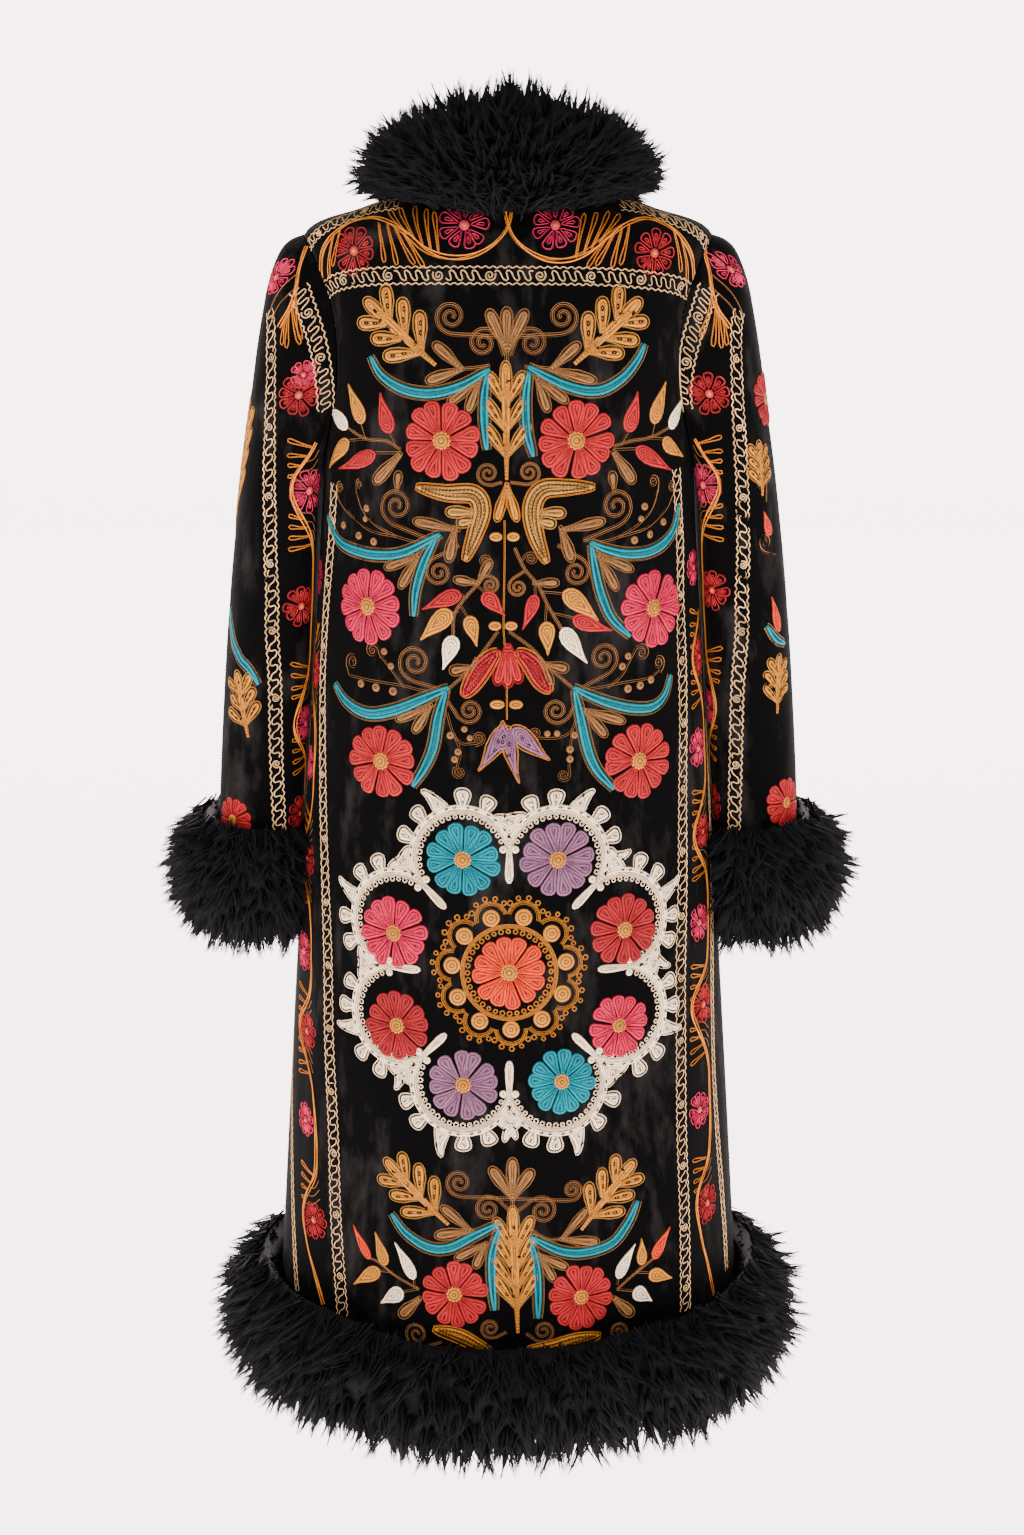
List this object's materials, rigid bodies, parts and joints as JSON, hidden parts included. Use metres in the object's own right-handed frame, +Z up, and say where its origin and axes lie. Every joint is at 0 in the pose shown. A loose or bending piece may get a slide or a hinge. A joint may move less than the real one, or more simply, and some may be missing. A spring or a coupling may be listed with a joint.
{
  "type": "long coat",
  "caption": "Long straight black velvet coat in its worn shape, open at neck, hem and wrists, with a standing fur collar, fur cuffs and a fur hem; embroidered all over.",
  "frame": {"origin": "where the wearer's shoulders carry the coat, in the middle of the neck", "axes": "+Z up; the coat's front faces -Y and its back +Y; the wearer's left is +X"},
  "size_m": [0.6612, 0.4863, 1.2651],
  "materials": {
    "velvet": "short black pile velvet, slightly crushed",
    "fur": "long shaggy black fur, soft sheen"
  },
  "bodies": {
    "root": {"back": "velvet", "front_left": "velvet", "front_right": "velvet", "sleeve_left": "velvet", "sleeve_right": "velvet", "collar_fur": "fur", "cuff_fur_left": "fur", "cuff_fur_right": "fur", "hem_fur": "fur"}
  },
  "joints": []
}
